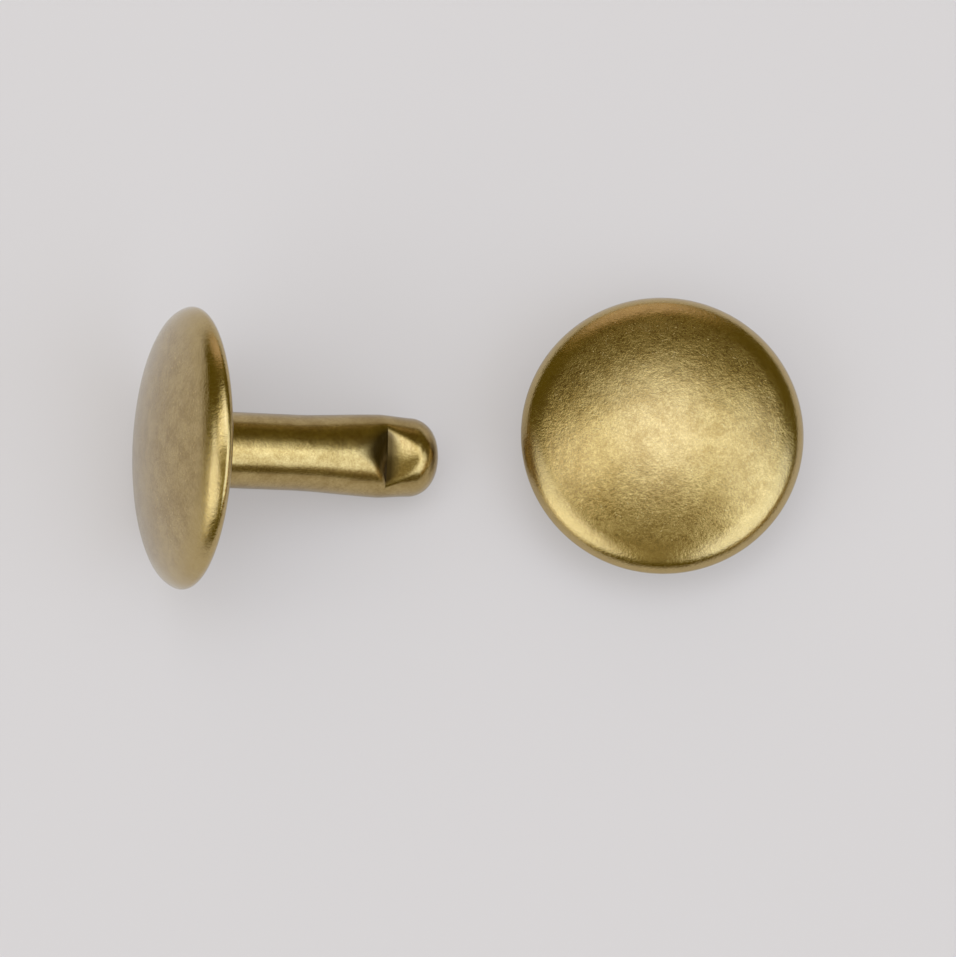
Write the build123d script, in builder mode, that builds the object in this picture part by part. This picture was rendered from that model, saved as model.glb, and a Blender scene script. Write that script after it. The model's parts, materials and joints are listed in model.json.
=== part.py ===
"""Double cap rivet, a two-part fastener for leather and webbing, in millimetres.

The post half is a domed cap closed over the flange of a long hollow post, which lies on its
side: it rests on the lowest point of its rim and on the edge of the post's rounded tip. The
socket half is the same kind of cap closed over the flange of a short open tube, and it stands
on that tube. All four pieces are drawn or spun from sheet brass.
"""
import os
from math import acos, atan2, ceil, cos, degrees, hypot, pi, radians, sin, sqrt

from build123d import *

# ---- sheet and caps -------------------------------------------------------------------------
SHEET = 0.22               # thickness of a cap's sheet
SOCKET_CAP_DIA = 12.0      # across the rim of the cap on the socket
POST_CAP_DIA = 11.8        # across the rim of the cap on the post
DOME_R = 15.6              # radius of the shallow dome, outside
SHOULDER_R = 0.92          # radius of the shoulder between the dome and the rim, outside
RIM_LEAN = 22.0            # degrees that the rim's wall leans in towards the dome
LIP = 0.70                 # width of the flat lip turned in under the flange
FLAT_DEPTH = 0.017         # how far the flats of a tight or hidden curve may lie off its arc

# ---- flanges --------------------------------------------------------------------------------
FLANGE = 0.26              # thickness of both flanges
HEM_PLAY = 0.02            # play of a flange in the fold of its rim
EDGE_PLAY = 0.02           # play round a flange's edge
ROOT_R = 0.30              # curve from a tube's outside into its flange
FLARE = 0.42               # bevel where a tube's bore opens into its flange

# ---- post -----------------------------------------------------------------------------------
POST_LENGTH = 10.68        # from the rim's underside to the end of the tip
POST_R = 1.60              # radius of the plain part of the post
POST_WALL = 0.28
SWELL_START = 4.60         # where the post begins to swell, from the rim's underside
SWELL = 0.17               # how far the pinch spreads the post sideways
SQUEEZE = 0.12             # how far it flattens the two dented sides
SWELL_BANDS = 3            # straight-sided bands of the swelling on either side of the pinch
TIP_R = 1.68               # radius of the post just before its tip
TIP_ROUND = 1.08           # radius of the tip's rounded edge

# ---- the two pinched dents -------------------------------------------------------------------
DENT_FROM_TIP = 2.53       # from the end of the tip to the crease
DENT_FLOOR = 1.12          # from the post's axis to the middle of the crease
DENT_RIDGE = 0.12          # how much lower the crease is at one post radius to the side
DENT_STEEP = 42.0          # degrees of slope on the flange's side of the crease
DENT_SHALLOW = 31.0        # degrees of slope on the tip's side
POST_ROLL = 13.0           # degrees that the dents are rolled from the upright plane

# ---- socket ---------------------------------------------------------------------------------
SOCKET_PLAY = 0.08         # play between the swollen post and the socket's bore
SOCKET_WALL = 0.25
SOCKET_LENGTH = 2.20       # how far the tube stands out below the rim
SOCKET_EDGE = 0.08         # bevel of the tube's open end

# ---- how the two halves lie -------------------------------------------------------------------
PAIR_GAP = 3.55            # from the end of the post to the rim of the other cap
PAIR_OFFSET = 0.32         # how far the socket half stands to the back of the post's line

rim_r = SHEET + (FLANGE + HEM_PLAY) / 2
post_cap_r = POST_CAP_DIA / 2
socket_cap_r = SOCKET_CAP_DIA / 2
socket_bore_r = POST_R + SWELL + SOCKET_PLAY
socket_tube_r = socket_bore_r + SOCKET_WALL
dent_at = POST_LENGTH - DENT_FROM_TIP
tip_start = POST_LENGTH - TIP_ROUND


def arc_centres(cap_r):
    """Centres of a cap's rim, shoulder and dome arcs, as (radius, height) above the underside,
    and the angle at which the shoulder runs into the dome."""
    rim = Vector(cap_r - rim_r, rim_r)
    shoulder = rim - Vector(1, 0).rotate(Axis.Z, RIM_LEAN) * (SHOULDER_R - rim_r)
    dome = Vector(0, shoulder.Y - sqrt((DOME_R - SHOULDER_R) ** 2 - shoulder.X ** 2))
    brow = degrees(atan2(shoulder.Y - dome.Y, shoulder.X))
    return rim, shoulder, dome, brow


def side_of(frame):
    """Plane through a half's axis: x runs out from the axis, y runs along it to the dome."""
    return Plane(frame.origin, x_dir=frame.x_dir, z_dir=-frame.y_dir)


def axis_of(frame):
    return Axis(frame.origin, frame.z_dir)


def flats(centre, radius, start, sweep):
    """An arc drawn as equal flats, as few as stay within FLAT_DEPTH of it."""
    count = ceil(radians(sweep) / (2 * acos(1 - FLAT_DEPTH / radius)))
    ray = Vector(radius, 0).rotate(Axis.Z, start)
    turns = [sweep * step / count for step in range(count + 1)]
    return Polyline([Vector(centre) + ray.rotate(Axis.Z, turn) for turn in turns])


def cap_section(cap_r):
    """Outline of the folded sheet: dome, shoulder, rolled rim and the lip under the flange.
    The dome is a true arc outside."""
    rim, shoulder, dome, brow = arc_centres(cap_r)
    with BuildLine() as outline:
        for skin, crown in ((0, CenterArc), (SHEET, flats)):
            crown(dome, DOME_R - skin, brow, 90 - brow)
            flats(shoulder, SHOULDER_R - skin, RIM_LEAN, brow - RIM_LEAN)
            flats(rim, rim_r - skin, -90, RIM_LEAN + 90)
            Line((rim.X, skin), (rim.X - LIP, skin))
        Line((0, dome.Y + DOME_R), (0, dome.Y + DOME_R - SHEET))
        Line((rim.X - LIP, 0), (rim.X - LIP, SHEET))
    return outline.edges()


def flange_section(cap_r, tube_r):
    """Outline of a flange lying on the lip, with the curve down to its tube, filled to the axis."""
    edge = cap_r - rim_r - EDGE_PLAY
    top = SHEET + FLANGE
    root = SHEET - ROOT_R
    with BuildLine() as outline:
        Polyline((0, root), (0, top), (edge, top), (edge, SHEET), (tube_r + ROOT_R, SHEET))
        flats((tube_r + ROOT_R, root), ROOT_R, 90, 90)
        Line((tube_r, root), (0, root))
    return outline.edges()


def mouth_of(flanged, frame):
    """Edge where a tube's bore opens through the top of its flange."""
    circles = flanged.edges().filter_by(GeomType.CIRCLE)
    return circles.group_by(axis_of(frame))[-1].sort_by(SortBy.RADIUS)[0]


def post_form(inset):
    """The post's shape, drawn in by `inset`: plain tube, pinched swelling, rounded tip, dents."""
    with BuildPart() as form:
        with BuildSketch(down_post.offset(-SHEET - FLANGE)):
            Circle(POST_R - inset)
        extrude(amount=SHEET + FLANGE + SWELL_START)

        for end, end_r in ((SWELL_START, POST_R), (tip_start, TIP_R)):
            for band in range(SWELL_BANDS + 1):
                share = band / SWELL_BANDS
                wide = end_r + (POST_R + SWELL - end_r) * share - inset
                flat = end_r + (POST_R - SQUEEZE - end_r) * share - inset
                with BuildSketch(down_post.offset(end + (dent_at - end) * share)):
                    Ellipse(wide, flat)
            loft(ruled=True)

        with BuildSketch(side_of(post_frame)):
            with BuildLine():
                Polyline((TIP_R - inset, -tip_start), (0, -tip_start), (0, inset - POST_LENGTH),
                         (TIP_R - TIP_ROUND, inset - POST_LENGTH))
                flats((TIP_R - TIP_ROUND, -tip_start), TIP_ROUND - inset, -90, 90)
            make_face()
        revolve(axis=axis_of(post_frame))

        # Each dent is a wedge whose crease crosses the post and stays highest in its middle.
        depth = DENT_FLOOR - inset / cos(radians(DENT_STEEP))
        clear = POST_R + SWELL + SQUEEZE
        for face in (1, -1):
            for across in (-clear, 0, clear):
                floor = depth - DENT_RIDGE * abs(across) / POST_R
                rise = clear + ROOT_R - floor
                with BuildSketch(Plane(post_frame.origin + down_post.x_dir * across,
                                       x_dir=down_post.z_dir, z_dir=-down_post.x_dir)):
                    with BuildLine():
                        Polyline((dent_at, face * floor),
                                 (dent_at - rise / tan_deg(DENT_STEEP), face * (floor + rise)),
                                 (dent_at + rise / tan_deg(DENT_SHALLOW), face * (floor + rise)),
                                 close=True)
                    make_face()
            loft(ruled=True, mode=Mode.SUBTRACT)
    return form.part


def tan_deg(angle):
    return sin(radians(angle)) / cos(radians(angle))


# ---- the lie of the post half: rim and tip both touch the ground -----------------------------
rest_across = post_cap_r - rim_r - (TIP_R - TIP_ROUND)
rest_along = tip_start + rim_r
tilt = acos((TIP_ROUND - rim_r) / hypot(rest_across, rest_along)) - atan2(rest_along, rest_across)
post_height = (post_cap_r - rim_r) * cos(tilt) + rim_r * (1 - sin(tilt))

_, shoulder, dome, brow = arc_centres(post_cap_r)
if 90 - degrees(tilt) <= brow:
    dome_reach = shoulder.X * sin(tilt) + shoulder.Y * cos(tilt) + SHOULDER_R
else:
    dome_reach = dome.Y * cos(tilt) + DOME_R * cos(pi / 2 - tilt - radians(brow))
tip_reach = tip_start * cos(tilt) + (TIP_R - TIP_ROUND) * sin(tilt) + TIP_ROUND
pair_length = dome_reach + tip_reach + PAIR_GAP + SOCKET_CAP_DIA
post_x = dome_reach - pair_length / 2
socket_x = pair_length / 2 - socket_cap_r
back = max(post_cap_r, PAIR_OFFSET + socket_cap_r)
front = min(-post_cap_r, PAIR_OFFSET - socket_cap_r)
post_y = -(back + front) / 2
socket_y = post_y + PAIR_OFFSET

# A half's frame has its origin in the middle of the rim's underside and z towards the dome.
post_axis = Vector(-cos(tilt), 0, sin(tilt))
post_side = Vector(0, 1, 0).rotate(Axis((0, 0, 0), post_axis), -POST_ROLL)
post_frame = Plane((post_x, post_y, post_height), x_dir=post_side, z_dir=post_axis)
down_post = Plane(post_frame.origin, x_dir=post_side, z_dir=-post_axis)
socket_frame = Plane((socket_x, socket_y, SOCKET_LENGTH), x_dir=(1, 0, 0), z_dir=(0, 0, 1))

# ---- pieces ------------------------------------------------------------------------------------
with BuildPart() as post_cap:
    with BuildSketch(side_of(post_frame)):
        make_face(cap_section(post_cap_r))
    revolve(axis=axis_of(post_frame))

post_outside = post_form(0)
post_inside = post_form(POST_WALL)
with BuildPart() as post:
    with BuildSketch(side_of(post_frame)):
        make_face(flange_section(post_cap_r, POST_R))
    revolve(axis=axis_of(post_frame))
    add(post_outside)
    add(post_inside, mode=Mode.SUBTRACT)
    chamfer(mouth_of(post, post_frame), FLARE)

with BuildPart() as socket_cap:
    with BuildSketch(side_of(socket_frame)):
        make_face(cap_section(socket_cap_r))
    revolve(axis=axis_of(socket_frame))

with BuildPart() as socket:
    with BuildSketch(side_of(socket_frame)):
        make_face(flange_section(socket_cap_r, socket_tube_r))
    revolve(axis=axis_of(socket_frame))
    with BuildSketch(socket_frame.offset(-SOCKET_LENGTH)):
        Circle(socket_tube_r)
    extrude(amount=SOCKET_LENGTH)
    with BuildSketch(socket_frame.offset(-SOCKET_LENGTH)):
        Circle(socket_bore_r)
    extrude(amount=SOCKET_LENGTH + SHEET + FLANGE, mode=Mode.SUBTRACT)
    chamfer(mouth_of(socket, socket_frame), FLARE)
    chamfer(socket.edges().group_by(Axis.Z)[0], SOCKET_EDGE)

post_cap.part.label = "post_cap"
post.part.label = "post"
socket_cap.part.label = "socket_cap"
socket.part.label = "socket"

os.makedirs("parts", exist_ok=True)
export_step(post_cap.part, "parts/post_cap.step")
export_step(post.part, "parts/post.step")
export_step(socket_cap.part, "parts/socket_cap.step")
export_step(socket.part, "parts/socket.step")
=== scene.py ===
import json
from math import asin, atan2, cos, degrees, hypot, pi, radians, sin, sqrt, tan

import bpy
from mathutils import Matrix, Vector


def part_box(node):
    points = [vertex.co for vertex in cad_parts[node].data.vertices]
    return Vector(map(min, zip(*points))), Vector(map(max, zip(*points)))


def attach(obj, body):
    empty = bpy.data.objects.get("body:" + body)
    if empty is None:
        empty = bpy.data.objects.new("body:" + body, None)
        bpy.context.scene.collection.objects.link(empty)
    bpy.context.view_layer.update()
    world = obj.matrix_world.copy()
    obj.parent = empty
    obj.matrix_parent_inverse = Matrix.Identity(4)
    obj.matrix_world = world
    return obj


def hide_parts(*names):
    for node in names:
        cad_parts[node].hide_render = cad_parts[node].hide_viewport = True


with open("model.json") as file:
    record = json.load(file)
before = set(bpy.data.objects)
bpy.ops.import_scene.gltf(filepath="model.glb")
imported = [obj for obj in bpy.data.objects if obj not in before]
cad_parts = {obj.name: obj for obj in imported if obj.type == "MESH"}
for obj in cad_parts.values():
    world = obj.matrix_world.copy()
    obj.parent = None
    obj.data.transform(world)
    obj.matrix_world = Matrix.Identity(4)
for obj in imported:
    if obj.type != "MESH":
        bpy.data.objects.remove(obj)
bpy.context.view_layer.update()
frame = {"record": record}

MM = 0.001

# ---- the two caps ------------------------------------------------------------------------------
# Each cap is one disc of thin sheet brass, pressed into a shallow dome with a tight shoulder.
# Its edge is rolled round the flange below and pressed flat under it, which holds the two together.
# The dome keeps a fine antiqued grain; the shoulder and the rim are rubbed bright in the barrel.
SHEET = 0.22               # thickness of the sheet
DOME_R = 15.6
DOME_RISE = 1.992          # from the rim's underside to the dome's top, on the socket's cap
BROW_R = 3.0               # eases the dome into the shoulder
BROW_WIDTH = 1.10          # from where the brow starts to the outside of the rim
SHOULDER_R = 1.05
RIM_R = 0.29               # radius of the fold's outside
LIP = 0.70                 # how far the folded edge reaches back in under the flange
POST_CAP_R = 5.9
RIM_LIFT = 0.022           # raises the lying half, so its truly round rim rests on the bench
SOCKET_CAP_R = 6.0
CAP_FALL = 0.36            # how much lower a dome is for each millimetre less of radius
CAP_SEGMENTS = 320         # round the axis
DOME_STEPS, BROW_STEPS, SHOULDER_STEPS, RIM_STEPS = 44, 14, 22, 26
RUB_START = 1.3            # how far in from the rim the rubbed brightness starts
RUB_FULL = 0.5             # and from where it is full
FLANGE = 0.26              # thickness of the flange that the cap is folded round
ROOT_R = 0.30              # curve from a tube's outside into its flange
ROOT_STEPS = 8
SWELL_START = 4.60         # end of the plain part of the post


def arc(centre, radius, start, sweep, steps):
    """Points of an arc in a section, as (radius from the axis, height); angles in degrees."""
    turns = [radians(start + sweep * step / steps) for step in range(steps + 1)]
    return [(centre[0] + radius * cos(turn), centre[1] + radius * sin(turn)) for turn in turns]


def nested(first, first_reach, second, second_reach):
    """The centre that lies at two distances from two other centres, on the inner side."""
    apart = hypot(second[0] - first[0], second[1] - first[1])
    along = (first_reach ** 2 - second_reach ** 2 + apart ** 2) / (2 * apart)
    off = sqrt(first_reach ** 2 - along ** 2)
    way = ((second[0] - first[0]) / apart, (second[1] - first[1]) / apart)
    return first[0] + along * way[0] - off * way[1], first[1] + along * way[1] + off * way[0]


def facing(first, second):
    """The direction from one centre to another in a section, in degrees."""
    return degrees(atan2(second[1] - first[1], second[0] - first[0]))


def cap_section(cap_r):
    """The sheet from the top of the dome out to the rim, under the lip and back inside."""
    rim = (cap_r - RIM_R, RIM_R)
    rise = DOME_RISE - (SOCKET_CAP_R - cap_r) * CAP_FALL
    dome = (0.0, rise - DOME_R)
    start = asin((cap_r - BROW_WIDTH) / DOME_R)
    brow = (sin(start) * (DOME_R - BROW_R), dome[1] + cos(start) * (DOME_R - BROW_R))
    shoulder = nested(brow, BROW_R - SHOULDER_R, rim, SHOULDER_R - RIM_R)
    ends = [90.0, 90.0 - degrees(start), facing(brow, shoulder), facing(shoulder, rim), -90.0]
    curves = ((dome, DOME_R, DOME_STEPS), (brow, BROW_R, BROW_STEPS),
              (shoulder, SHOULDER_R, SHOULDER_STEPS), (rim, RIM_R, RIM_STEPS))
    section = []
    for skin, way in ((0.0, 1), (SHEET, -1)):
        half = []
        for (centre, radius, steps), begin, finish in zip(curves, ends, ends[1:]):
            half += arc(centre, radius - skin, begin, finish - begin, steps)[len(half) > 0:]
        half += [(rim[0] - LIP, skin)]
        section += half[::way]
    return section


def rubbed(section, inner, outer):
    """How bright each point of a section is rubbed: 0 inside `inner`, 1 beyond `outer`."""
    return [min(max((point[0] - inner) / (outer - inner), 0.0), 1.0) for point in section]


ON_AXIS = 1e-6             # a point this near the axis counts as on it
CREASE = 40                # degrees between faces from which an edge is drawn sharp


def spun(name, section, polish, place, segments):
    """A closed mesh of revolution about z. A section's point on the axis makes one vertex."""
    rings = []
    corners = []
    shine = []
    for (reach, height), bright in zip(section, polish):
        if reach < ON_AXIS:
            ring = [len(corners)] * segments
            corners.append(Vector((0, 0, height)))
        else:
            ring = list(range(len(corners), len(corners) + segments))
            turns = [2 * pi * step / segments for step in range(segments)]
            corners += [Vector((reach * cos(turn), reach * sin(turn), height)) for turn in turns]
        shine += [bright] * (len(corners) - len(shine))
        rings.append(ring)
    return skinned(name, rings, corners, shine, [0.0] * len(corners), place)


def skinned(name, rings, corners, shine, painted_shade, place):
    """A mesh over a run of rings, placed by `place`, with its polish and painted shade as
    attributes.
    """
    faces = []
    for upper, lower in zip(rings, rings[1:]):
        for step in range(len(upper)):
            after = (step + 1) % len(upper)
            loop = (upper[step], lower[step], lower[after], upper[after])
            faces.append(list(dict.fromkeys(loop)))    # a triangle where a ring is one point
    mesh = bpy.data.meshes.new(name)
    mesh.from_pydata([place @ (corner * MM) for corner in corners], [], faces)
    mesh.attributes.new("polish", "FLOAT", "POINT").data.foreach_set("value", shine)
    mesh.attributes.new("painted_shade", "FLOAT", "POINT").data.foreach_set("value", painted_shade)
    mesh.shade_smooth()
    mesh.set_sharp_from_angle(angle=radians(CREASE))
    mesh.update()
    piece = bpy.data.objects.new(name, mesh)
    bpy.context.scene.collection.objects.link(piece)
    return piece


def placed(tree, kind, sockets, **settings):
    """One shader node, with its sockets set to values or linked to other nodes' outputs."""
    node = tree.nodes.new(kind)
    for key, value in settings.items():
        setattr(node, key, value)
    for key, value in sockets.items():
        if isinstance(value, bpy.types.NodeSocket):
            tree.links.new(value, node.inputs[key])
        else:
            node.inputs[key].default_value = value
    return node


def sum_of(tree, operation, first, second, third=0.0):
    """What two or three values come to."""
    sockets = {0: first, 1: second, 2: third}
    return placed(tree, "ShaderNodeMath", sockets, operation=operation).outputs[0]


def stretched(tree, value, low, high, to_low=0.0, to_high=1.0):
    """A value's range from `low` to `high`, stretched smoothly over another one."""
    sockets = {"Value": value, "From Min": low, "From Max": high}
    sockets.update({"To Min": to_low, "To Max": to_high})
    node = placed(tree, "ShaderNodeMapRange", sockets, interpolation_type="SMOOTHSTEP")
    return node.outputs["Result"]


def blended(tree, share, first, second):
    """Two colours mixed by a share; the node keeps its colour sockets at 6 and 7."""
    sockets = {0: share, 6: first, 7: second}
    return placed(tree, "ShaderNodeMix", sockets, data_type="RGBA").outputs[2]


def group(name, inputs, outputs):
    """An empty shader node group with named sockets, and its two end nodes."""
    tree = bpy.data.node_groups.new(name, "ShaderNodeTree")
    for label, kind in inputs:
        tree.interface.new_socket(label, in_out="INPUT", socket_type="NodeSocket" + kind)
    for label, kind in outputs:
        tree.interface.new_socket(label, in_out="OUTPUT", socket_type="NodeSocket" + kind)
    return tree, tree.nodes.new("NodeGroupInput"), tree.nodes.new("NodeGroupOutput")


DASH_LENGTH = 8.0          # how many times longer than wide a scratch is
DASH_FINENESS = 0.62       # how finely scratches lie, against the specks
DASH_THIN = (0.05, 0.16)   # from a scratch's middle to its edge, in cells
DASH_CHANCE = (0.3, 0.6)   # which cells hold none, and which a full one


def dashes(tree, place, fineness, turn):
    """Short fine scratches that all lie one way: sparse dots, drawn out along that way."""
    sockets = {"Vector": place, "Rotation": turn, "Scale": (DASH_LENGTH, 1.0, 1.0)}
    lay = placed(tree, "ShaderNodeMapping", sockets, vector_type="TEXTURE")
    finer = sum_of(tree, "MULTIPLY", fineness, DASH_FINENESS)
    dots = placed(tree, "ShaderNodeTexVoronoi", {"Vector": lay.outputs[0], "Scale": finer})
    chance = placed(tree, "ShaderNodeSeparateColor", {"Color": dots.outputs["Color"]}).outputs[0]
    thin = stretched(tree, dots.outputs["Distance"], *DASH_THIN, 1.0, 0.0)
    return sum_of(tree, "MULTIPLY", thin, stretched(tree, chance, *DASH_CHANCE))


MOTTLING_FINENESS = 0.14   # against the specks
SWAY_FINENESS = 0.2
SWAY = 0.9                 # how far the scratches' lines are bent
DASH_LAYS = ((0.25, 0.1, 0.4), (-0.2, 0.3, 1.5), (0.3, -0.2, 2.5))
FLECK_FINENESS = 1.1
FLECK_EDGE = (0.2, 0.5)
FLECK_CHANCE = (0.6, 0.75)
FLECK_TONE = 0.25          # how much a fleck or a pit changes the colour
FLECK_HEIGHT = 0.2
SPECK_RANGE = (0.36, 0.64)
MOTTLING_RANGE = (0.35, 0.65)
UNEVENNESS = 7.0           # height of the broad mottling
SCRATCH_HEIGHT = 0.5


def antique_grain():
    """Specks, pits and short scratches that the bath and the barrel leave, and broader mottling."""
    tree, given, out = group(
        "antique grain",
        [("Place", "Vector"), ("Speck Size", "Float"), ("Scratch Share", "Float")],
        [("Specks", "Float"), ("Mottling", "Float"), ("Scratches", "Float"), ("Height", "Float")])
    place = given.outputs["Place"]
    fineness = sum_of(tree, "DIVIDE", 1.0, given.outputs["Speck Size"])

    def noise(share, detail, roughness):
        """Smooth noise, so much finer than the specks."""
        finer = sum_of(tree, "MULTIPLY", fineness, share)
        sockets = {"Vector": place, "Scale": finer, "Detail": detail, "Roughness": roughness}
        return placed(tree, "ShaderNodeTexNoise", sockets)

    specks = noise(1.0, 3.0, 0.8).outputs[0]
    mottling = noise(MOTTLING_FINENESS, 4.0, 0.7).outputs[0]
    finer = sum_of(tree, "MULTIPLY", fineness, FLECK_FINENESS)
    cells = placed(tree, "ShaderNodeTexVoronoi", {"Vector": place, "Scale": finer})
    chance = placed(tree, "ShaderNodeSeparateColor", {"Color": cells.outputs["Color"]})
    near = stretched(tree, cells.outputs["Distance"], *FLECK_EDGE, 1.0, 0.0)
    flecks, pits = [sum_of(tree, "MULTIPLY", near, stretched(tree, odds, *FLECK_CHANCE))
                    for odds in chance.outputs[:2]]
    dotted = sum_of(tree, "SUBTRACT", flecks, pits)
    sway = noise(SWAY_FINENESS, 1.0, 0.5).outputs["Color"]
    bent = placed(tree, "ShaderNodeVectorMath", {0: sway, 1: (SWAY,) * 3, 2: place},
                  operation="MULTIPLY_ADD").outputs[0]
    lays = [dashes(tree, bent, fineness, turn) for turn in DASH_LAYS]
    all_lays = sum_of(tree, "MAXIMUM", sum_of(tree, "MAXIMUM", lays[0], lays[1]), lays[2])
    scratches = sum_of(tree, "MULTIPLY", all_lays, given.outputs["Scratch Share"])
    even = stretched(tree, specks, *SPECK_RANGE)
    relief = sum_of(tree, "MULTIPLY_ADD", dotted, FLECK_HEIGHT, even)
    scratched = sum_of(tree, "MULTIPLY_ADD", scratches, SCRATCH_HEIGHT, relief)
    height = sum_of(tree, "MULTIPLY_ADD", mottling, UNEVENNESS, scratched)
    for label, value in (("Specks", sum_of(tree, "MULTIPLY_ADD", dotted, FLECK_TONE, even)),
                         ("Mottling", stretched(tree, mottling, *MOTTLING_RANGE)),
                         ("Scratches", scratches), ("Height", height)):
        tree.links.new(value, out.inputs[label])
    return tree


RUBBED_OFF = 0.65          # how much of the antiquing a fully polished edge loses
MOTTLED = 1.0              # how much the mottling adds to the antiquing
MOTTLED_FROM = -0.1        # and what it starts from
SPECKLED = 0.9             # how much more there is between the bright specks
SCRATCH_ROUGH = 0.08       # what a scratch and a speck add to the roughness
SPECK_ROUGH = 0.03


def brass_tone():
    """Brass between its rubbed colour and the colour of the antiquing, darkened by painted shade,
    and its roughness.
    """
    tree, given, out = group(
        "antiqued brass",
        [("Specks", "Float"), ("Mottling", "Float"), ("Scratches", "Float"), ("Polish", "Float"),
         ("Painted_Shade", "Float"), ("Bright", "Color"), ("Antiqued", "Color"), ("Painted Shade Colour", "Color"),
         ("Dark Share", "Float"), ("Rough", "Float"), ("Smooth", "Float")],
        [("Color", "Color"), ("Roughness", "Float")])
    given = given.outputs
    dull = sum_of(tree, "MULTIPLY_ADD", given["Polish"], -RUBBED_OFF, 1.0)
    blotch = sum_of(tree, "MULTIPLY_ADD", given["Mottling"], MOTTLED, MOTTLED_FROM)
    speck = sum_of(tree, "MULTIPLY_ADD", given["Specks"], -SPECKLED, SPECKLED)
    both = sum_of(tree, "SUBTRACT", sum_of(tree, "ADD", blotch, speck), given["Scratches"])
    dark = sum_of(tree, "MULTIPLY", both, given["Dark Share"])
    share = sum_of(tree, "MULTIPLY", dark, dull)
    worn = blended(tree, share, given["Bright"], given["Antiqued"])
    # Painted shade: a near black brown is mixed in where the painted shade attribute is high.
    tree.links.new(blended(tree, given["Painted_Shade"], worn, given["Painted Shade Colour"]), out.inputs["Color"])
    sockets = {"Factor": given["Polish"], "A": given["Rough"], "B": given["Smooth"]}
    rough = placed(tree, "ShaderNodeMix", sockets, data_type="FLOAT").outputs[0]
    scuffed = sum_of(tree, "MULTIPLY_ADD", given["Scratches"], SCRATCH_ROUGH, rough)
    grainy = sum_of(tree, "MULTIPLY_ADD", given["Specks"], SPECK_ROUGH, scuffed)
    tree.links.new(grainy, out.inputs["Roughness"])
    return tree


grain_group = antique_grain()
tone_group = brass_tone()
BRIGHT = (0.53, 0.4, 0.165, 1)
ANTIQUED = (0.33, 0.22, 0.065, 1)
# A near black brown, the colour of the painted shade in the post's dents.
PAINTED_SHADE_COLOUR = (0.10, 0.065, 0.018, 1)
RELIEF = 0.01              # depth of the grain
COAT_ROUGH = 0.2


def antiqued_brass(name, speck_size, scratches, dark_share, rough, smooth, bump, coat):
    """Brass that is darkened in a bath and tumbled bright again, in one piece's own values."""
    material = bpy.data.materials.new(name)
    material.use_nodes = True
    tree = material.node_tree
    shader = tree.nodes["Principled BSDF"]
    where = placed(tree, "ShaderNodeTexCoord", {}).outputs["Object"]
    in_mm = placed(tree, "ShaderNodeVectorMath", {0: where, 1: (1 / MM,) * 3}, operation="MULTIPLY")
    grain = placed(tree, "ShaderNodeGroup", {}, node_tree=grain_group)
    tree.links.new(in_mm.outputs[0], grain.inputs["Place"])
    grain.inputs["Speck Size"].default_value = speck_size
    grain.inputs["Scratch Share"].default_value = scratches
    tone = placed(tree, "ShaderNodeGroup", {}, node_tree=tone_group)
    for label in ("Specks", "Mottling", "Scratches"):
        tree.links.new(grain.outputs[label], tone.inputs[label])
    # The polish and the painted shade come from attributes of each mesh.
    for label in ("Polish", "Painted_Shade"):
        kept = placed(tree, "ShaderNodeAttribute", {}, attribute_name=label.lower())
        tree.links.new(kept.outputs["Fac"], tone.inputs[label])
    for label, value in (("Bright", BRIGHT), ("Antiqued", ANTIQUED), ("Painted Shade Colour", PAINTED_SHADE_COLOUR),
                         ("Dark Share", dark_share), ("Rough", rough), ("Smooth", smooth)):
        tone.inputs[label].default_value = value
    relief = placed(tree, "ShaderNodeBump",
                    {"Strength": bump, "Distance": RELIEF * MM, "Height": grain.outputs["Height"]})
    tree.links.new(tone.outputs["Color"], shader.inputs["Base Color"])
    tree.links.new(tone.outputs["Roughness"], shader.inputs["Roughness"])
    tree.links.new(relief.outputs[0], shader.inputs["Normal"])
    shader.inputs["Metallic"].default_value = 1.0
    shader.inputs["Coat Weight"].default_value = coat
    shader.inputs["Coat Roughness"].default_value = COAT_ROUGH
    return material


def settled(piece, node, material):
    """The piece stands for its node, rides with the one body and takes the brass's finish."""
    piece.data.materials.append(material)
    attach(piece, "root")
    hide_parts(node)


mounts = {mount["name"]: mount for mount in frame["record"]["mounts"]}
post_axis = -Vector(mounts["post_pin"]["axis"]).normalized()
pin_middle = (ROOT_R - SHEET + SWELL_START) / 2
post_origin = Vector(mounts["post_pin"]["pos_m"]) + post_axis * pin_middle * MM
post_origin.z += RIM_LIFT * MM
socket_origin = Vector(mounts["socket_bore"]["pos_m"])
socket_origin.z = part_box("socket_cap")[0].z
POST_ROLL = 13.0           # degrees that the dents are rolled from the upright plane

side = Matrix.Rotation(radians(-POST_ROLL), 3, post_axis) @ Vector((0, 1, 0))
post_turn = Matrix((side, post_axis.cross(side), post_axis)).transposed()
post_place = Matrix.Translation(post_origin) @ post_turn.to_4x4()
socket_place = Matrix.Translation(socket_origin)

cap_brass = antiqued_brass("antiqued brass, domed", speck_size=0.12, scratches=0.9,
                           dark_share=0.55, rough=0.21, smooth=0.14, bump=0.3, coat=0.7)
for node, cap_r, place in (("post_cap", POST_CAP_R, post_place),
                           ("socket_cap", SOCKET_CAP_R, socket_place)):
    section = cap_section(cap_r)
    polish = rubbed(section, cap_r - RUB_START, cap_r - RUB_FULL)
    cap = spun(node + "_brass", section, polish, place, CAP_SEGMENTS)
    settled(cap, node, cap_brass)

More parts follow.
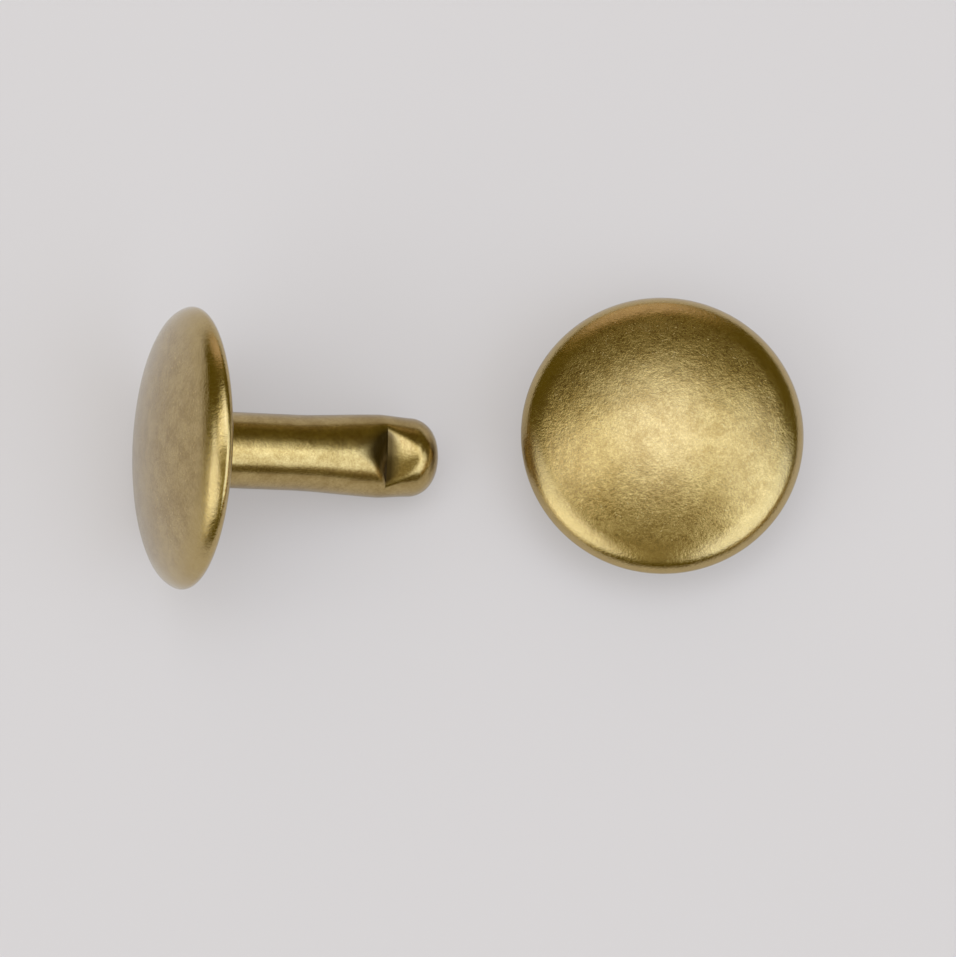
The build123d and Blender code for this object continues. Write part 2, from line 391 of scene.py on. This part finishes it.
# ---- the post ----------------------------------------------------------------------------------
# The post is drawn from sheet into a long closed tube with a flange at its open end.
# Two blunt wedges pinch it near the tip, so it grips the socket, and the pinch spreads it sideways.
POST_R = 1.60
POST_WALL = 0.28
POST_LENGTH = 10.68        # from the rim's underside to the end of the tip
TIP_R = 1.68               # radius where the tip's rounding starts
TIP_ROUND = 1.08           # radius of that rounding
SWELL = 0.17               # how far the pinch spreads the post, to each side
SQUEEZE = 0.12             # how far the post is pressed flat, on each side with a dent
DENT_FROM_TIP = 2.42       # from the crease to the end of the tip
DENT_FLOOR = 1.18          # from the post's axis to the crease
DENT_RIDGE = 0.12          # how much lower the crease is at one post radius to the side
DENT_EASE = 0.25           # how softly the middle of a dent turns over
WALL_TO_FLANGE = 19.0      # degrees between the post's run and a dent's longer wall
WALL_LEAN = 28.0           # and how much steeper it gets with each millimetre to one side
WALL_TO_TIP = 27.0
# Painted shade: a dent's longer wall and its crease are darkened in colour, where shade falls.
PAINTED_SHADE_REACH = 0.55          # how far the dark spreads past the crease towards the tip
PAINTED_SHADE_EVEN = 0.25           # share of that reach that is evenly dark
PAINTED_SHADE_DEPTH = 0.10          # how deep a dent is where it is first fully dark
SOFT_EDGE = 0.18           # how far a dent's edges are rounded from the crease to the tip
SOFT_MORE = 0.08           # and how much further towards the flange
SOFT_REACH = 0.3           # over which length that grows
EDGE_PLAY = 0.09           # from a flange's edge to the centre of its cap's fold
FLARE = 0.42               # bevel at a bore's mouth
POST_POLISH = 0.4          # how far the barrel rubs the whole post bright
POST_SEGMENTS = 240
ROWS_APART = (0.12, 0.06, 0.02, 0.04)    # plain part, swelling, dents, from there to the tip
DENT_ROWS = 1.1            # how far each way from the crease the close rows reach
TIP_ROWS = 26
dent_at = POST_LENGTH - DENT_FROM_TIP
tip_start = POST_LENGTH - TIP_ROUND


def eased(share):
    """Halfway between a straight run and one that starts and ends level."""
    return (share + share * share * (3 - 2 * share)) / 2


def half_widths(along, inset):
    """The post's half width to the side and towards a dent, at a distance down from the rim."""
    if along <= SWELL_START:
        return POST_R - inset, POST_R - inset
    if along <= dent_at:
        start, share = POST_R, eased((along - SWELL_START) / (dent_at - SWELL_START))
    elif along <= tip_start:
        start, share = TIP_R, eased((tip_start - along) / (tip_start - dent_at))
    else:
        rise = min((along - tip_start) / (TIP_ROUND - inset), 1.0)
        reach = TIP_R - TIP_ROUND + (TIP_ROUND - inset) * sqrt(1 - rise * rise)
        return reach, reach
    wide = start + (POST_R + SWELL - start) * share
    flat = start + (POST_R - SQUEEZE - start) * share
    return wide - inset, flat - inset


def lesser(first, second, softness):
    """The lesser of two lengths, with the corner between them rounded."""
    blend = max(softness - abs(first - second), 0.0) / softness
    return min(first, second) - blend * blend * softness / 4


def dent_cut(across, along, inset):
    """How far from the post's axis a dent's floor lies."""
    off = hypot(across, DENT_EASE)
    lean = WALL_LEAN * (off - across) / 2
    slope = WALL_TO_FLANGE + lean if along < dent_at else WALL_TO_TIP
    floor = DENT_FLOOR - inset / cos(radians(WALL_TO_FLANGE)) - DENT_RIDGE * off / POST_R
    return floor + abs(along - dent_at) * tan(radians(slope))


def softness(along):
    """How far a dent's edge is rounded: less from the crease on, and more towards the flange."""
    return SOFT_EDGE + SOFT_MORE * min(max((dent_at - along) / SOFT_REACH, 0.0), 1.0)


def post_corner(turn, along, inset):
    """A point of the post, out to its plain round or to a dent's floor, whichever is nearer."""
    wide, flat = half_widths(along, inset)
    across = wide * cos(turn)
    out = lesser(flat * abs(sin(turn)), dent_cut(across, along, inset), softness(along))
    return Vector((across, out if sin(turn) > 0 else -out, -along))


def painted_shade_at(turn, along):
    """How much painted shade darkens a point: the deeper in a dent's longer wall and crease, the
    more.
    """
    plain = half_widths(along, 0.0)[1] * abs(sin(turn))
    depth = (plain - abs(post_corner(turn, along, 0.0).y)) / PAINTED_SHADE_DEPTH
    past_even = max(along - dent_at - PAINTED_SHADE_REACH * PAINTED_SHADE_EVEN, 0.0)
    fading = 1 - past_even / (PAINTED_SHADE_REACH * (1 - PAINTED_SHADE_EVEN))
    return min(max(depth, 0.0), 1.0) * max(fading, 0.0)


def spaced(start, end, step):
    """Even places from one end to just before the other, about a step apart."""
    count = max(round(abs(end - start) / step), 1)
    return [start + (end - start) * index / count for index in range(count)]


def post_rows(inset):
    """Distances down the post, close together where the dents and the tip need it."""
    ends = (ROOT_R - SHEET, SWELL_START, dent_at - DENT_ROWS, dent_at + DENT_ROWS, tip_start)
    rows = []
    for start, end, step in zip(ends, ends[1:], ROWS_APART):
        rows += spaced(start, end, step)
    tip_turns = [pi / 2 * step / TIP_ROWS for step in range(TIP_ROWS + 1)]
    return rows + [tip_start + (TIP_ROUND - inset) * sin(turn) for turn in tip_turns]


top = SHEET + FLANGE
post_edge = POST_CAP_R - RIM_R - EDGE_PLAY
bore_r = POST_R - POST_WALL
post_rings = []
post_corners = []
post_painted_shade = []


def ringed(points, painted_shade=()):
    """One more ring of the post; a single point closes an end."""
    first = len(post_corners)
    post_corners.extend(points)
    count = len(points)
    post_painted_shade.extend(painted_shade or [0.0] * count)
    post_rings.append([first] * POST_SEGMENTS if count == 1 else list(range(first, first + count)))


turns = [2 * pi * step / POST_SEGMENTS for step in range(POST_SEGMENTS)]
ringed([Vector((0, 0, -POST_LENGTH))])
# The post's outside carries the painted shade of its dents.
for along in reversed(post_rows(0.0)):
    ringed([post_corner(turn, along, 0.0) for turn in turns],
           [painted_shade_at(turn, along) for turn in turns])
flange = arc((POST_R + ROOT_R, SHEET - ROOT_R), ROOT_R, 180, -90, ROOT_STEPS)[1:]
flange += [(post_edge, SHEET), (post_edge, top), (bore_r + FLARE, top), (bore_r, top - FLARE)]
for reach, height in flange:
    ringed([Vector((reach * cos(turn), reach * sin(turn), height)) for turn in turns])
for along in post_rows(POST_WALL)[:-1:2]:
    ringed([post_corner(turn, along, POST_WALL) for turn in turns])
ringed([Vector((0, 0, -POST_LENGTH + POST_WALL))])

post_shine = [POST_POLISH] * len(post_corners)
post = skinned("post_brass", post_rings, post_corners, post_shine, post_painted_shade, post_place)
post_brass = antiqued_brass("antiqued brass, drawn", speck_size=0.12, scratches=0.15,
                            dark_share=0.7, rough=0.2, smooth=0.2, bump=0.1, coat=0.4)
settled(post, "post", post_brass)

# ---- the socket --------------------------------------------------------------------------------
# The socket is a short tube drawn from the same sheet, open at its end, with a flange that its
# cap is rolled over. The post is driven into it and spreads inside the cap.
SOCKET_BORE_R = 1.85
SOCKET_TUBE_R = 2.10
SOCKET_EDGE = 0.08         # bevel at the tube's end
SOCKET_SEGMENTS = 200
end = -socket_origin.z / MM
socket_edge = SOCKET_CAP_R - RIM_R - EDGE_PLAY
socket_section = [(SOCKET_TUBE_R - SOCKET_EDGE, end), (SOCKET_TUBE_R, end + SOCKET_EDGE)]
socket_section += arc((SOCKET_TUBE_R + ROOT_R, SHEET - ROOT_R), ROOT_R, 180, -90, ROOT_STEPS)
socket_section += [(socket_edge, SHEET), (socket_edge, top), (SOCKET_BORE_R + FLARE, top)]
socket_section += [(SOCKET_BORE_R, top - FLARE), (SOCKET_BORE_R, end + SOCKET_EDGE)]
socket_section += [(SOCKET_BORE_R + SOCKET_EDGE, end)]
socket_section += socket_section[:1]
socket = spun("socket_brass", socket_section, [1.0] * len(socket_section), socket_place,
              SOCKET_SEGMENTS)
settled(socket, "socket", post_brass)

# ---- the table ---------------------------------------------------------------------------------
# A sheet of matt pale grey card lies under the rivet, wide enough to reach past every lamp.
# It lets some light through, so the shadows on it stay soft; the brass mirrors it a little darker.
TABLE_REACH = 12.0         # metres
PALE = (0.612, 0.594, 0.60)
THROUGH = 0.45             # share of the card's light that shines through from below
MIRRORED = 0.87            # how bright the card is in the brass
card = bpy.data.meshes.new("card")
corners = [(x * TABLE_REACH, y * TABLE_REACH, 0) for x, y in ((-1, -1), (1, -1), (1, 1), (-1, 1))]
card.from_pydata(corners, [], [(0, 1, 2, 3)])
table = bpy.data.objects.new("card", card)
bpy.context.scene.collection.objects.link(table)
card_paper = bpy.data.materials.new("pale card")
card_paper.use_nodes = True
tree = card_paper.node_tree
paper = tree.nodes["Principled BSDF"]
seen = placed(tree, "ShaderNodeLightPath", {}).outputs["Is Camera Ray"]
lit_above = tuple(tone * (1 - THROUGH) for tone in PALE) + (1,)
mirrored = tuple(tone * MIRRORED for tone in PALE) + (1,)
tree.links.new(blended(tree, seen, mirrored, lit_above), paper.inputs["Base Color"])
paper.inputs["Emission Color"].default_value = PALE + (1,)
tree.links.new(sum_of(tree, "MULTIPLY", seen, THROUGH), paper.inputs["Emission Strength"])
paper.inputs["Roughness"].default_value = 0.9
paper.inputs["Specular IOR Level"].default_value = 0.0
card.materials.append(card_paper)

# ---- the lamps ---------------------------------------------------------------------------------
# Soft boxes stand to the left and the right in front, and a wide cloth hangs overhead. Two wings
# light the sides from high up, and a dim one stands behind. Each is given by where it stands and
# how wide it looks from the rivet, in degrees.
LAMP_REACH = 3.0           # metres from the rivet
WARM_EDGE = (1.0, 0.92, 0.55)
MIDDLE = 0.5               # of a lamp, where its own places run from 0 to 1


def soft_edges():
    """How bright a lamp's round cloth is: even in the middle and fading out towards its edge."""
    tree, given, out = group("soft edges", [("Fade", "Float")], [("Brightness", "Float")])
    across = placed(tree, "ShaderNodeNewGeometry", {}).outputs["Parametric"]
    off = placed(tree, "ShaderNodeVectorMath", {0: across, 1: (MIDDLE, MIDDLE, 0)},
                 operation="DISTANCE")
    start = sum_of(tree, "MULTIPLY_ADD", given.outputs["Fade"], -MIDDLE, MIDDLE)
    even = stretched(tree, off.outputs["Value"], start, MIDDLE, 1.0, 0.0)
    tree.links.new(even, out.inputs["Brightness"])
    return tree


edge_group = soft_edges()


def soft_box(name, azimuth, zenith, across, tall, fade, light):
    """A lamp that faces the rivet from `zenith` degrees off overhead; `light` is its radiance."""
    lamp = bpy.data.lights.new(name, "AREA")
    lamp.shape = "ELLIPSE"
    lamp.size = 2 * LAMP_REACH * tan(radians(across / 2))
    lamp.size_y = 2 * LAMP_REACH * tan(radians(tall / 2))
    cloth_area = pi * lamp.size * lamp.size_y / 4
    lamp.energy = pi * cloth_area        # a radiance of 1, before the light's own colour
    lamp.use_nodes = True
    tree = lamp.node_tree
    edges = placed(tree, "ShaderNodeGroup", {}, node_tree=edge_group)
    edges.inputs["Fade"].default_value = fade
    cloth = tree.nodes["Emission"]
    even = edges.outputs["Brightness"]
    warm = tuple(tone * share for tone, share in zip(light, WARM_EDGE)) + (1,)
    tree.links.new(blended(tree, even, warm, light + (1,)), cloth.inputs["Color"])
    tree.links.new(even, cloth.inputs["Strength"])
    around, down = radians(azimuth), radians(zenith)
    towards = Vector((sin(down) * cos(around), sin(down) * sin(around), cos(down)))
    level = Vector((-sin(around), cos(around), 0))
    turn = Matrix((level, towards.cross(level), towards)).transposed()
    stand = bpy.data.objects.new(name, lamp)
    stand.matrix_world = Matrix.Translation(towards * LAMP_REACH) @ turn.to_4x4()
    stand.visible_camera = False
    bpy.context.scene.collection.objects.link(stand)


soft_box("overhead", azimuth=82, zenith=11, across=62, tall=60, fade=0.85,
         light=(2.05, 2.25, 2.75))
soft_box("left wing", azimuth=173, zenith=27, across=32, tall=28, fade=0.6,
         light=(1.75, 1.8, 1.85))
soft_box("right wing", azimuth=1, zenith=31, across=56, tall=32, fade=0.6,
         light=(1.4, 1.55, 1.8))
soft_box("left box", azimuth=208, zenith=53, across=72, tall=38, fade=0.25,
         light=(1.25, 1.35, 1.5))
soft_box("left box, foot", azimuth=206, zenith=75, across=68, tall=28, fade=0.5,
         light=(1.0, 1.0, 1.0))
soft_box("right box", azimuth=326, zenith=52, across=72, tall=40, fade=0.28,
         light=(1.35, 1.55, 1.9))
soft_box("right box, foot", azimuth=326, zenith=74, across=60, tall=26, fade=0.6,
         light=(0.25, 0.15, 0.05))
soft_box("glow behind", azimuth=93, zenith=73, across=64, tall=38, fade=0.6,
         light=(0.62, 0.5, 0.48))

# ---- the room ----------------------------------------------------------------------------------
# Beyond the lamps the brass mirrors a dim warm room, a little lighter high up in front.
# Its white walls light the card evenly, and where the eye looks past the card it sees more card.
ROOM = (0.14, 0.108, 0.008, 1)
ROOM_FRONT = (0.36, 0.31, 0.15, 1)
WALLS = (0.58, 0.53, 0.46, 1)
HIGH = (0.3, 0.7)          # how far up, and how far in front, the lighter part starts and is full
IN_FRONT = (-0.45, -0.05)
room = bpy.data.worlds.new("studio")
room.use_nodes = True
bpy.context.scene.world = room
tree = room.node_tree
back = tree.nodes["Background"]
ray = placed(tree, "ShaderNodeTexCoord", {}).outputs["Generated"]
parts = placed(tree, "ShaderNodeSeparateXYZ", {"Vector": ray})
high = stretched(tree, parts.outputs["Z"], *HIGH)
before = stretched(tree, parts.outputs["Y"], *IN_FRONT, 1.0, 0.0)
dim = blended(tree, sum_of(tree, "MULTIPLY", high, before), ROOM, ROOM_FRONT)
rays = placed(tree, "ShaderNodeLightPath", {})
unseen = blended(tree, rays.outputs["Is Glossy Ray"], WALLS, dim)
seen = blended(tree, rays.outputs["Is Camera Ray"], unseen, PALE + (1,))
tree.links.new(seen, back.inputs["Color"])

# ---- the camera --------------------------------------------------------------------------------
# It looks down on the pair from in front, nearly from overhead, with a slight roll.
LENS = 130.94
SENSOR = 36.0
AIM = Vector((0.439, -0.920, 0.0)) * MM
STAND = Vector((2.063, -31.297, 146.88)) * MM
ROLL = -5.51               # degrees
ACROSS = Vector((0.99858, 0.05338, 0.0))    # which way is to the right, before the roll
scene = bpy.context.scene
camera_data = bpy.data.cameras.new("camera")
camera_data.lens = LENS
camera_data.sensor_width = SENSOR
camera_data.sensor_fit = "HORIZONTAL"
camera_data.clip_start = 0.01
camera = bpy.data.objects.new("camera", camera_data)
scene.collection.objects.link(camera)
back_to_eye = (STAND - AIM).normalized()
upright = back_to_eye.cross(ACROSS)
across = ACROSS * cos(radians(ROLL)) + upright * sin(radians(ROLL))
up = back_to_eye.cross(across)
camera_turn = Matrix((across, up, back_to_eye)).transposed()
camera.matrix_world = Matrix.Translation(STAND) @ camera_turn.to_4x4()
scene.camera = camera
scene.view_settings.view_transform = "Standard"
